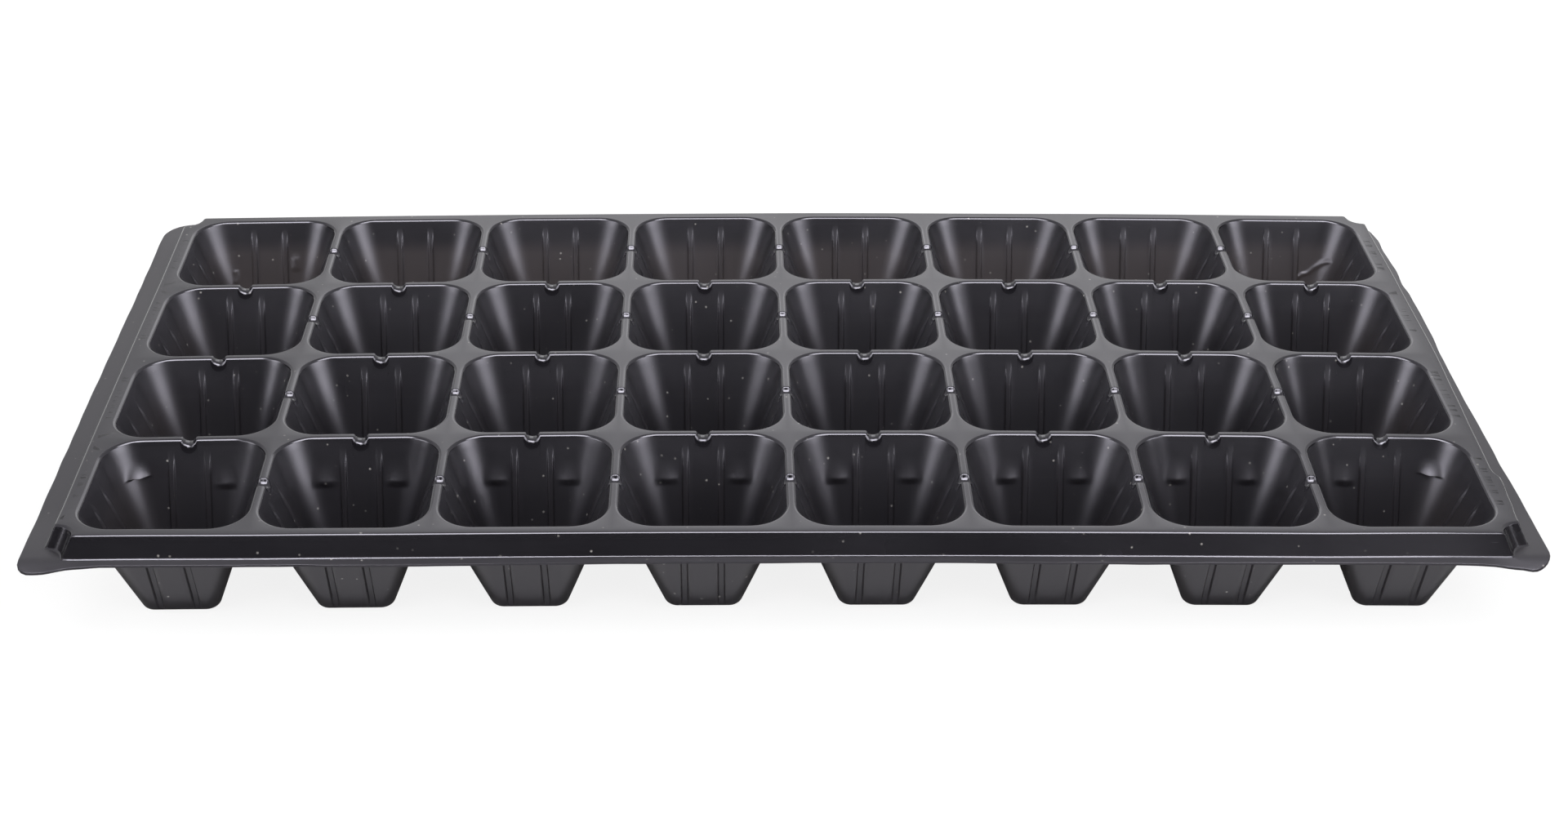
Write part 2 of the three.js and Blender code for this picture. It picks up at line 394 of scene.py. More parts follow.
class Cell(Formed):
    """A tapered cup with its share of the deck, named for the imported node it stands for."""

    def __init__(self, sizes: TraySizes, cell: CellSizes, row: int, column: int) -> None:
        """Lays the lines down the walls of a cell.

        Args:
            sizes: sizes of the tray.
            cell: sizes of the cell.
            row: its place in the grid, from 0 at the front.
            column: the same from 0 at the left.
        """
        self.sizes = sizes
        self.cell = cell
        self.row = row
        self.column = column
        self.name = f"cell_r{row + 1}_c{column + 1}"
        self.dents = DENTS.get(self.name, ())
        self.mouth_half = (sizes.pitch - cell.mouth_web) / 2
        self.depth = sizes.height - sizes.sheet
        self.lines = [
            line for side in Side for line in self.side_lines(side) + self.corner_lines(side)
        ]

    def neighbour(self, side: Side) -> bool:
        """Tells whether another cell lies beyond a wall.

        Args:
            side: the wall.

        Returns:
            False where the wall is at the tray's edge.
        """
        return {
            Side.RIGHT: self.column < self.sizes.columns - 1,
            Side.BACK: self.row < self.sizes.rows - 1,
            Side.LEFT: self.column > 0,
            Side.FRONT: self.row > 0,
        }[side]

    def reach(self, side: Side) -> float:
        """Gives the distance from the cell's middle to the end of its deck on a side.

        Args:
            side: the side.

        Returns:
            The distance, half the pitch where another cell follows.
        """
        if self.neighbour(side):
            return self.sizes.pitch / 2
        centre = self.sizes.centre(self.row, self.column)
        axis = side.value % 2
        return self.sizes.deck_half[axis] - self.sizes.seam_inset - abs(centre[axis])

    def half(self, z: float) -> float:
        """Gives half the width between two inner walls at a height."""
        return mix(self.cell.floor_half, self.mouth_half, (z - self.sizes.sheet) / self.depth)

    def radius(self, z: float) -> float:
        """Gives the corner radius of the inner wall at a height."""
        share = (z - self.sizes.sheet) / self.depth
        return mix(self.cell.floor_radius, self.cell.mouth_radius, share)

    def flat(self, z: float) -> float:
        """Gives half the length of a wall's flat stretch at a height."""
        return self.half(z) - self.radius(z)

    def notch_lines(self, side: Side) -> list[Line]:
        """Walks across the notch in the web beyond a wall.

        Args:
            side: the wall.

        Returns:
            Lines from one edge of the notch to the other.
        """
        cell, out = self.cell, self.reach(side)
        depth = cell.notch_depth * self.neighbour(side)
        half_under = cell.notch_half + cell.notch_wider * self.sizes.sheet
        near = 0.01  # to both sides of a place, for the slope there

        def profile(place: float, half: float = cell.notch_half) -> float:
            """Gives the depth of the notch at a place across it."""
            bowl = 1 - (place / half) ** 2
            return depth * (0.5 * (bowl + math.hypot(bowl, cell.notch_round))) ** cell.notch_power

        lines = []
        for place in spaced(-cell.notch_reach, cell.notch_reach, cell.notch_steps):
            slope = (profile(place + near) - profile(place - near)) / (2 * near)
            lines.append(Line(
                side, side.turned(out, place), place, drop=profile(place),
                drop_under=profile(place, half_under), tilt=math.atan(slope),
            ))
        return lines

    def side_lines(self, side: Side) -> list[Line]:
        """Walks along one wall, between its two corners.

        Args:
            side: the wall.

        Returns:
            Lines on both flanks, across both ribs and across the notch.
        """
        cell, out = self.cell, self.reach(side)
        flat = self.flat(self.sizes.height)

        def plain(along: float, share: float = 0.0) -> Line:
            """Gives a line beside the notch."""
            place = math.copysign(mix(cell.rib_zone, flat, share), along) if share else along
            return Line(side, side.turned(out, place), along, share)

        flank = [(cell.flank_steps - i) / (cell.flank_steps + 1) for i in range(cell.flank_steps)]
        across = spaced(-cell.groove_width / 2, cell.groove_width / 2, cell.rib_steps)
        first = [plain(-1.0, share) for share in flank] + [plain(-cell.rib_zone)]
        first += [plain(-cell.rib_offset + place) for place in across]
        last = [plain(cell.rib_offset + place) for place in across] + [plain(cell.rib_zone)]
        last += [plain(1.0, share) for share in reversed(flank)]
        return first + self.notch_lines(side) + last

    def corner_lines(self, side: Side) -> list[Line]:
        """Walks round the corner that follows a wall.

        Args:
            side: the wall before the corner.

        Returns:
            Lines from the end of this wall to the start of the next.
        """
        steps = self.cell.corner_steps
        after = Side((side.value + 1) % len(Side))
        out, out_after = self.reach(side), self.reach(after)
        flat = self.flat(self.sizes.height)
        if self.neighbour(side) or self.neighbour(after):
            way = [Vector((out, place)) for place in spaced(flat, out_after, steps // 2)[:-1]]
            way += [Vector((place, out_after)) for place in spaced(out, flat, steps // 2)]
        else:
            hollow = self.sizes.scallop(Vector((out, out_after)))
            way = [Vector((out, flat)), *hollow, Vector((flat, out_after))]
        turns = spaced(0.0, math.pi / 2, steps)
        return [
            Line(side, side.turned(*point), turn=turn)
            for turn, point in zip(turns, way, strict=True)
        ]

    def wall_point(self, line: Line, z: float, out: float) -> Vector:
        """Gives a point beside the inner wall.

        Args:
            line: the line that the point lies on.
            z: height of the point.
            out: distance outwards from the inner wall at that height.

        Returns:
            The point about the cell's middle.
        """
        flat = self.flat(z)
        if line.turn is not None:
            reach = self.radius(z) + out
            across, along = reach * math.cos(line.turn), reach * math.sin(line.turn)
            return raised(line.side.turned(flat + across, flat + along), z)
        along = line.along
        if line.share:
            along = math.copysign(mix(self.cell.rib_zone, flat, line.share), along)
        return raised(line.side.turned(self.half(z) + out, along), z)

    def lean(self, line: Line) -> float:
        """Gives how far the wall leans out for each millimetre of height along a line.

        Args:
            line: the line.

        Returns:
            The lean, which is larger in the corners.
        """
        half = (self.mouth_half - self.cell.floor_half) / self.depth
        if line.turn is None:
            return half
        radius = (self.cell.mouth_radius - self.cell.floor_radius) / self.depth
        return (half - radius) * (math.cos(line.turn) + math.sin(line.turn)) + radius

    def rib(self, line: Line, z: float, outer: bool) -> float:
        """Gives how far a rib draws the wall in at a height.

        Args:
            line: the line.
            z: height on the wall.
            outer: whether the outer face is meant, where a rib is a groove.

        Returns:
            Distance inwards from the plain wall.
        """
        if line.turn is not None or line.share:
            return 0.0
        cell = self.cell
        start = self.sizes.height - cell.rib_start
        rise = smooth(start, start - cell.rib_rise, z)
        place = abs(line.along) - cell.rib_offset
        if outer:
            rise *= smooth(self.sizes.sheet, cell.groove_end, z)
            bed = hump(place, cell.groove_width / 2, cell.groove_flat / 2)
            return cell.groove_depth * rise * bed
        return cell.rib_depth * rise * hump(place, cell.rib_width / 2, cell.rib_flat / 2)

    def back_place(self, line: Line, z: float) -> float | None:
        """Gives how far a line lies along the back wall and round its corners, if it does.

        Args:
            line: the line.
            z: height on the wall.

        Returns:
            Distance from the wall's middle, or None on the other walls.
        """
        if line.turn is None:
            return self.wall_point(line, z, 0).x if line.side is Side.BACK else None
        if line.side is Side.BACK:
            return -self.flat(z) - self.radius(z) * line.turn
        if line.side is Side.RIGHT:
            return self.flat(z) + self.radius(z) * (math.pi / 2 - line.turn)
        return None

    def pressed(self, line: Line, z: float) -> float:
        """Gives how far lugs in the front row, and dents, draw the back wall in at a height.

        Args:
            line: the line.
            z: height on the wall.

        Returns:
            Distance inwards from the plain wall.
        """
        place = self.back_place(line, z) if self.dents or self.row == 0 else None
        if place is None:
            return 0.0
        depth = sum(dent.press(place, z) for dent in self.dents)
        if self.row == 0:
            for sign, end in ((-1, 0), (1, self.sizes.columns - 1)):
                lug = self.cell.end_lug if self.column == end else self.cell.lug
                depth += lug.press(place - sign * lug.offset, self.sizes.height - z)
        return depth

    def wall_heights(self, outer: bool) -> list[float]:
        """Gives shares of the way down the wall, close together where it changes.

        Args:
            outer: whether the outer face is meant, which has no lugs or dents.

        Returns:
            The shares from the top down.
        """
        cell = self.cell
        below = [*cell.high_levels, *spaced(*cell.low_levels)]
        below += spaced(cell.rib_start, cell.rib_start + cell.rib_rise, cell.rise_steps)
        lugs = self.row == 0 and not outer
        below += spaced(*cell.lug_levels) if lugs else cell.middle_levels
        if self.dents and not outer:
            below += spaced(*cell.dent_levels)
        return sorted(depth / self.sizes.height for depth in below)

    def stations(self) -> list[Callable[[Line], Vector]]:
        """Lists the places round the sheet that each line passes.

        Returns:
            Places down the upper face to the drain hole, and up the under face to the deck.
        """
        sheet = self.sizes.sheet
        turns = spaced(0.0, 1.0, self.cell.round_steps)
        inner, outer = self.wall_heights(outer=False), self.wall_heights(outer=True)
        upper: list[Callable[[Line], Vector]] = [self.deck_edge]
        upper += [partial(self.mouth_round, share=share) for share in turns]
        upper += [partial(self.inner_wall, share=share) for share in inner]
        upper += [partial(self.floor_round, share=share, thick=0.0) for share in turns]
        upper += [partial(self.floor_point, share=share, z=sheet) for share in (0.5, 1.0)]
        under = [partial(self.floor_point, share=share, z=0.0) for share in (1.0, 0.5)]
        under += [partial(self.floor_round, share=share, thick=sheet) for share in reversed(turns)]
        under += [partial(self.outer_wall, share=share) for share in (*reversed(outer), 0.0)]
        return [*upper, *under, self.under_edge]

    def deck_edge(self, line: Line) -> Vector:
        """Gives the end of the deck's upper face."""
        return raised(line.edge, self.sizes.height - line.drop)

    def under_edge(self, line: Line) -> Vector:
        """Gives the end of the deck's under face."""
        return raised(line.edge, self.sizes.height - self.sizes.sheet - line.drop_under)

    def fillet(self, line: Line) -> float:
        """Gives the radius of the mouth's edge, which is larger where a notch crosses it."""
        cell = self.cell
        return mix(cell.mouth_round, cell.notch_fillet, smooth(0.0, cell.notch_depth, line.drop))

    def fall(self, line: Line) -> float:
        """Gives how far the mouth's rounded edge reaches down from the deck, or a notch."""
        return self.fillet(line) * (1 - math.sin(math.atan(self.lean(line))))

    def mouth_round(self, line: Line, share: float) -> Vector:
        """Gives a point of the rounded edge between the deck, or a notch, and the wall.

        Args:
            line: the line that the point lies on.
            share: 0 on the deck, 1 on the wall.

        Returns:
            The point about the cell's middle.
        """
        radius, lean = self.fillet(line), self.lean(line)
        slope = math.atan(lean)
        angle = share * (math.pi / 2 - slope)
        rise = radius * (math.cos(angle) - 1)
        out = radius * (math.cos(slope) - math.sin(angle)) - lean * self.fall(line)
        upright = rise * math.cos(line.tilt)
        point = self.wall_point(line, self.sizes.height - line.drop + upright, out - lean * upright)
        return point + line.side.turned(0.0, rise * math.sin(line.tilt)).to_3d()

    def wall_foot(self, line: Line) -> float:
        """Gives the height at which the inner wall starts to round into the floor."""
        slope = math.atan(self.lean(line))
        return self.sizes.sheet + self.cell.floor_round * (1 - math.sin(slope))

    def inner_wall(self, line: Line, share: float) -> Vector:
        """Gives a point of the inner wall a share of the way down.

        Args:
            line: the line that the point lies on.
            share: 0 below the mouth's rounded edge, 1 above the floor's.

        Returns:
            The point about the cell's middle.
        """
        fall = self.fall(line)
        high = self.sizes.height - line.drop - fall * math.cos(line.tilt)
        z = mix(high, self.wall_foot(line), share)
        point = self.wall_point(line, z, -self.rib(line, z, False) - self.pressed(line, z))
        flare = fall * math.sin(line.tilt) * (1 - smooth(0, self.cell.flare_end, share))
        return point + line.side.turned(0.0, -flare).to_3d()

    def outer_wall(self, line: Line, share: float) -> Vector:
        """Gives a point of the outer wall a share of the way down.

        Args:
            line: the line that the point lies on.
            share: 0 under the deck, 1 above the floor's rounded edge.

        Returns:
            The point about the cell's middle.
        """
        high = self.sizes.height - self.sizes.sheet - line.drop_under
        z = mix(high, self.wall_foot(line), share)
        out = self.sizes.sheet * math.hypot(1, self.lean(line))
        return self.wall_point(line, z, out - self.rib(line, z, True))

    def floor_round(self, line: Line, share: float, thick: float) -> Vector:
        """Gives a point of the rounded edge between the wall and the floor.

        Args:
            line: the line that the point lies on.
            share: 0 on the wall, 1 on the floor.
            thick: 0 on the inner face, the sheet's thickness on the outer.

        Returns:
            The point about the cell's middle.
        """
        radius, lean = self.cell.floor_round, self.lean(line)
        slope = math.atan(lean)
        angle = mix(slope, math.pi / 2, share)
        middle = self.sizes.sheet + radius
        centre = -lean * radius * math.sin(slope) - radius * math.cos(slope)
        z = middle - (radius + thick) * math.sin(angle)
        out = centre + (radius + thick) * math.cos(angle) - lean * (z - middle)
        return self.wall_point(line, z, out - self.rib(line, z, thick > 0))

    def floor_point(self, line: Line, share: float, z: float) -> Vector:
        """Gives a point of the floor a share of the way from its edge to the drain hole.

        Args:
            line: the line that the point lies on.
            share: 0 at the edge, 1 at the hole.
            z: height of the face.

        Returns:
            The point about the cell's middle.
        """
        edge = self.floor_round(line, 1.0, 0.0)
        hole = edge.xy.normalized() * self.cell.drain_radius
        return raised(edge.xy.lerp(hole, share), z)

    def build(self) -> bmesh.types.BMesh:
        """Forms the cell where it stands in the tray.

        Returns:
            The cell's mesh in metres.
        """
        stations = self.stations()
        centre = self.sizes.centre(self.row, self.column).to_3d()
        steps = self.cell.round_steps

        def place(column: int, ring: int) -> Vector:
            """Gives a point of the cell in the tray."""
            return stations[ring](self.lines[column]) + centre

        def bend(column: int, ring: int) -> float:
            """Gives how sharply the sheet is bent there.

            Args:
                column: number of the line.
                ring: number of the station.

            Returns:
                0 where it is flat, 1 in a bend.
            """
            if ring > steps + 1:
                return 0.0
            sunk = smooth(0.0, self.cell.notch_bent, self.lines[column].drop)
            return max(sunk, bent(ring - 1, steps))

        return loft(len(self.lines), len(stations), place, bend, closed=True)


@dataclass(frozen=True)
class RimSizes:
    """Sizes of the skirt and the lip."""

    draft: float = 3.5  # from the deck's edge out to the foot of the skirt
    bend_round: float = 1.2
    foot_round: float = 0.9
    edge_round: float = 0.35
    edge_dip: float = 0.1  # of the edge's rounding, where it starts to fall
    # Shares of the lip's width at which its edge starts and falls, and starts on the under face
    edge_start: float = 0.955
    edge_fall: float = 0.985
    under_start: float = 0.97
    step: float = 3.0  # about, along a straight side
    bend_steps: int = 6
    drawn: float = 0.45  # how smooth the skirt was drawn, where a bend has 1
    lip_steps: int = 5
    # Each corner, the way to it from the middle, and the radius of its ear
    ears: tuple[tuple[str, tuple[int, int], float], ...] = (
        ("corner_back_right", (1, 1), 11.0), ("corner_back_left", (-1, 1), 13.0),
        ("corner_front_left", (-1, -1), 5.0), ("corner_front_right", (1, -1), 9.0),
    )
    straight_steps: int = 4
    ear_steps: int = 16
    # What the trimming press took off the right and the front lip, by the place along it
    right_trim: Knots = (
        (-140.0, 1.4), (-111.0, 1.5), (-94.0, 1.7), (-68.0, 2.9), (-44.0, 3.3), (-19.0, 3.8),
        (15.0, 4.0), (31.0, 3.3), (89.0, 3.4), (102.0, 3.9), (116.0, 4.2), (132.0, 5.5),
    )
    front_trim: Knots = (
        (-262.0, 0.6), (-250.0, 2.4), (-240.0, 3.3), (-180.0, 3.3), (-150.0, 2.7), (-60.0, 2.7),
        (0.0, 2.9), (122.0, 2.8), (150.0, 3.2), (185.0, 3.5), (230.0, 3.1), (246.0, 2.7),
        (256.0, 1.8), (264.0, 0.7),
    )
    wander: float = 0.22  # mean inset of the cut, and how far it strays from that
    wander_length: float = 11.0
    torn: float = 4.0  # times as rough towards the back of the right lip
    torn_span: tuple[float, float] = (55.0, 80.0)


class Rim(Formed):
    """The skirt and lip along one side of the tray, or round one corner."""

    def __init__(
        self, sizes: TraySizes, rim: RimSizes, name: str,
        path: Callable[[float], list[Vector]], edge: list[Vector],
    ) -> None:
        """Keeps the way that the rim follows.

        Args:
            sizes: sizes of the tray.
            rim: sizes of the skirt and lip.
            name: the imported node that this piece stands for.
            path: gives plan points that lie so far outside the deck's edge.
            edge: plan points of the lip's edge, one for each of the path's.
        """
        self.sizes = sizes
        self.rim = rim
        self.name = name
        self.edge = edge
        self.section = self.make_section()
        self.paths = [path(spread) for spread, _, _ in self.section]

    def make_section(self) -> list[tuple[float, float, float]]:
        """Draws the section of the sheet, from the deck over the skirt to the lip and back.

        Returns:
            For each point its spread from the deck's edge, its height, and its share of the
            way from the skirt's foot to the lip's edge.
        """
        rim, sizes = self.rim, self.sizes
        high, low, sheet = sizes.height, sizes.lip_top, sizes.sheet
        lean = rim.draft / (high - low)
        slope = math.atan(lean)

        def bend(thick: float) -> list[tuple[float, float, float]]:
            """Rounds one face of the sheet from the deck into the skirt.

            Args:
                thick: 0 on the upper face, the sheet's thickness on the under face.

            Returns:
                Points of the section, outwards.
            """
            radius, reach = rim.bend_round, rim.bend_round - thick
            centre = lean * radius * (1 - math.sin(slope)) - radius * math.cos(slope)
            return [
                (centre + reach * math.sin(turn), high - radius + reach * math.cos(turn), 0.0)
                for turn in spaced(0.0, math.pi / 2 - slope, rim.bend_steps)
            ]

        def foot(thick: float) -> list[tuple[float, float, float]]:
            """Rounds one face of the sheet from the skirt into the lip.

            Args:
                thick: 0 on the upper face, the sheet's thickness on the under face.

            Returns:
                Points of the section, outwards.
            """
            radius, reach = rim.foot_round, rim.foot_round + thick
            tangent = high - low - radius * (1 - math.sin(slope))
            centre = lean * tangent + radius * math.cos(slope)
            return [
                (centre - reach * math.cos(turn), low + radius - reach * math.sin(turn), 0.0)
                for turn in spaced(slope, math.pi / 2, rim.bend_steps)
            ]

        spread = foot(0.0)[-1][0]
        shares = [(i + 1) / rim.lip_steps for i in range(rim.lip_steps - 1)]
        dip = rim.edge_dip * rim.edge_round
        upper = [(-sizes.seam_inset, high, 0.0), *bend(0.0), *foot(0.0)]
        upper += [(spread, low, share) for share in (*shares, rim.edge_start)]
        upper += [(spread, low - dip, rim.edge_fall), (spread, low - rim.edge_round, 1.0)]
        under = [(spread, low - sheet + dip, 1.0)]
        under += [(spread, low - sheet, share) for share in (rim.under_start, *reversed(shares))]
        under += [*reversed(foot(sheet)), *reversed(bend(sheet))]
        under += [(-sizes.seam_inset, high - sheet, 0.0)]
        return upper + under

    def place(self, column: int, ring: int) -> Vector:
        """Gives one point of the rim.

        Args:
            column: place along the path.
            ring: place round the section.

        Returns:
            The point in the tray.
        """
        _, z, share = self.section[ring]
        return raised(self.paths[ring][column].lerp(self.edge[column], share), z)

    def build(self) -> bmesh.types.BMesh:
        """Forms this stretch of the rim, closed at both ends.

        Returns:
            The rim's mesh in metres.
        """
        steps = self.rim.bend_steps

        def bend(column: int, ring: int) -> float:
            """Gives how sharply the sheet is bent there, or how smoothly drawn on the skirt."""
            drawn = self.rim.drawn if steps < ring <= steps + 2 else 0.0
            return max(drawn, bent(ring - 1, steps), bent(ring - 2 - steps, steps))

        return loft(len(self.edge), len(self.section), self.place, bend, closed=False)


def evenly(start: Vector, end: Vector, count: int) -> list[Vector]:
    """Gives points along a straight line, both ends included."""
    return [start.lerp(end, i / count) for i in range(count + 1)]


def lengths(points: list[Vector]) -> list[float]:
    """Gives each point's share of the way along a line of points.

    Args:
        points: the line's points in order.

    Returns:
        Shares from 0 to 1.
    """
    run = [0.0]
    for before, after in zip(points, points[1:]):
        run.append(run[-1] + (after - before).length)
    return [part / run[-1] for part in run]


def along(points: list[Vector], share: float) -> Vector:
    """Gives the point that lies a share of the way along a line of points.

    Args:
        points: the line's points in order.
        share: 0 at the start, 1 at the end.

    Returns:
        The point.
    """
    run = lengths(points)
    for i in range(1, len(run)):
        if share <= run[i]:
            return points[i - 1].lerp(points[i], (share - run[i - 1]) / (run[i] - run[i - 1]))
    return points[-1].copy()


def between(knots: Knots, place: float) -> float:
    """Reads a value off a line of knots, each a place and its value.

    Args:
        knots: the knots in order of place.
        place: where to read.

    Returns:
        The value, eased from knot to knot and level beyond the ends.
    """
    for (low, first), (high, last) in zip(knots, knots[1:]):
        if place <= high:
            return mix(first, last, smooth(low, high, place))
    return knots[-1][1]


class RimMaker:
    """Lays the rim's pieces round the tray."""

    def __init__(self, sizes: TraySizes, rim: RimSizes) -> None:
        """Finds where the sides of the rim end and its corners start.

        Args:
            sizes: sizes of the tray.
            rim: sizes of the skirt and lip.
        """
        self.sizes = sizes
        self.rim = rim
        reach = sizes.scallop_radius + sizes.corner_reach
        self.part = Vector([half - reach for half in sizes.deck_half])

    def trimmed(self, point: Vector) -> Vector:
        """Moves a point of the lip's edge to where the press cut it.

        Args:
            point: plan point of the full lip.

        Returns:
            The plan point of the cut.
        """
        rim, half = self.rim, self.sizes.lip_half
        inset = between(rim.right_trim, point.y) * smooth(self.part.x, half.x, point.x)
        rough = rim.wander * (1 + noise.noise(point.to_3d() / rim.wander_length))
        if point.x > 0:
            rough *= mix(1.0, rim.torn, smooth(*rim.torn_span, point.y))
        pull = Vector((
            math.copysign(rough, point.x) * smooth(self.part.x, half.x, abs(point.x)),
            math.copysign(rough, point.y) * smooth(self.part.y, half.y, abs(point.y)),
        ))
        front = between(rim.front_trim, point.x) * smooth(-self.part.y, -half.y, point.y)
        return point - pull - Vector((inset, -front))

    def side_path(self, side: Side, places: list[float], spread: float) -> list[Vector]:
        """Walks along one side, so far outside the deck's edge."""
        out = self.sizes.deck_half[side.value % 2] + spread
        return [side.turned(out, place) for place in places]

    def sides(self) -> list[Rim]:
        """Lays the four straight sides.

        Returns:
            The sides from the right one round to the front.
        """
        rims = []
        for side in Side:
            axis = side.value % 2
            reach = self.part[1 - axis]
            places = spaced(-reach, reach, round(2 * reach / self.rim.step))
            lip = self.sizes.lip_half[axis]
            edge = [self.trimmed(side.turned(lip, place)) for place in places]
            path = partial(self.side_path, side, places)
            rims.append(Rim(self.sizes, self.rim, f"rim_{side.name.lower()}", path, edge))
        return rims

    def corner_path(self, flip: Matrix, spread: float) -> list[Vector]:
        """Walks round one corner, so far outside the deck's edge.

        Args:
            flip: takes the back right corner to this one.
            spread: distance from the deck's edge.

        Returns:
            Plan points from the end's side of the corner to the other.
        """
        corner = self.sizes.deck_half + Vector((spread, spread))
        hollow = self.sizes.scallop(corner)
        first = evenly(Vector((corner.x, self.part.y)), hollow[0], self.rim.straight_steps)
        last = evenly(hollow[-1], Vector((self.part.x, corner.y)), self.rim.straight_steps)
        return [flip @ point for point in first[:-1] + hollow + last[1:]]

    def corners(self) -> list[Rim]:
        """Lays the four hollow corners with their rounded ears.

        Returns:
            The corners from the back right one round to the front right.
        """
        lip = self.sizes.lip_half
        rims = []
        for name, sign, radius in self.rim.ears:
            flip = Matrix.Diagonal(sign)
            path = partial(self.corner_path, flip)
            ear = arc(lip - Vector((radius, radius)), radius, 0, math.pi / 2, self.rim.ear_steps)
            outer = [Vector((lip.x, self.part.y)), *ear, Vector((self.part.x, lip.y))]
            shares = lengths(path(self.rim.draft))
            edge = [self.trimmed(flip @ along(outer, share)) for share in shares]
            rims.append(Rim(self.sizes, self.rim, name, path, edge))
        return rims


def linear(colour: str) -> tuple[float, float, float, float]:
    """Turns an sRGB hex colour into linear light.

    Args:
        colour: six hex digits after a hash sign.

    Returns:
        Red, green, blue and an alpha of 1.
    """
    parts = [int(colour[i:i + 2], 16) / 255 for i in (1, 3, 5)]
    light = [part / 12.92 if part <= 0.04045 else ((part + 0.055) / 1.055) ** 2.4 for part in parts]
    return (light[0], light[1], light[2], 1.0)


def add_node(
    tree: Tree, kind: str, inputs: dict[Any, Any] | None = None, **settings: Any,
) -> bpy.types.Node:
    """Adds a node to a tree.

    Args:
        tree: the tree.
        kind: the node's type name.
        inputs: value or output socket for each input, by name or number.
        settings: the node's own properties.

    Returns:
        The new node.
    """
    node = tree.nodes.new(kind)
    for name, value in settings.items():
        setattr(node, name, value)
    for key, value in (inputs or {}).items():
        if isinstance(value, Socket):
            tree.links.new(value, node.inputs[key])
        else:
            node.inputs[key].default_value = value
    return node


